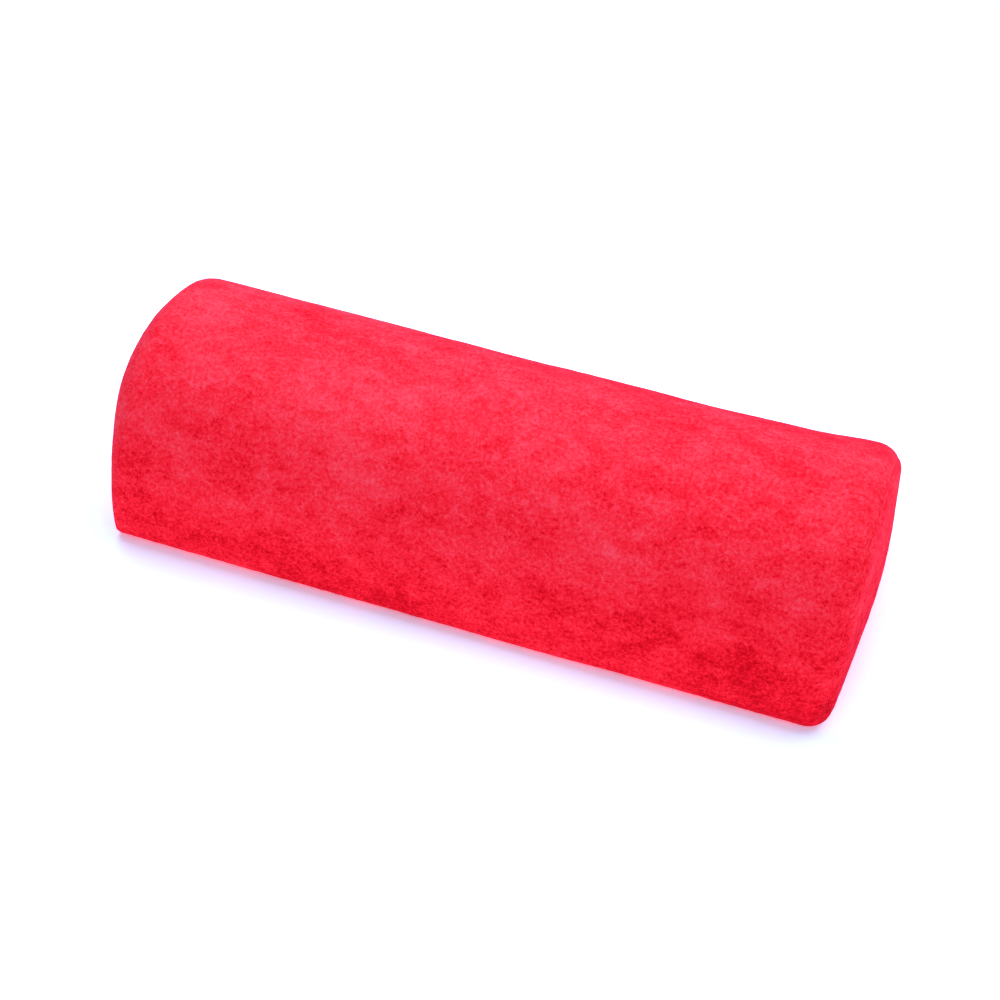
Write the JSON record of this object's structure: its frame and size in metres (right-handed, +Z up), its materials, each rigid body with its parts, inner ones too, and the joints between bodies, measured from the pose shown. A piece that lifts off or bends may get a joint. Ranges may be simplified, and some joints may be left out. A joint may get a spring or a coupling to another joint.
{
  "type": "manicure hand rest",
  "caption": "Half-round cushion that supports the wrist at a manicure table: a soft foam block in a removable red plush cover with domed sewn ends and a flat base.",
  "frame": {"origin": "middle of the flat base, on the surface that the cushion rests on", "axes": "+X along the cushion towards the end that is nearer in the picture, +Y towards the back, +Z up"},
  "size_m": [0.3, 0.115, 0.0735],
  "materials": {
    "plush": "short soft plush pile, brushed, matt with a pale sheen at grazing angles",
    "foam": "open-cell cream polyurethane foam",
    "tape": "woven nylon hook-and-loop tape"
  },
  "bodies": {
    "root": {"foam_core": "foam", "cover_wrap": "plush", "left_end_panel": "plush", "right_end_panel": "plush", "closure_underlap": "plush", "loop_strip": "tape", "hook_strip": "tape"}
  },
  "joints": []
}
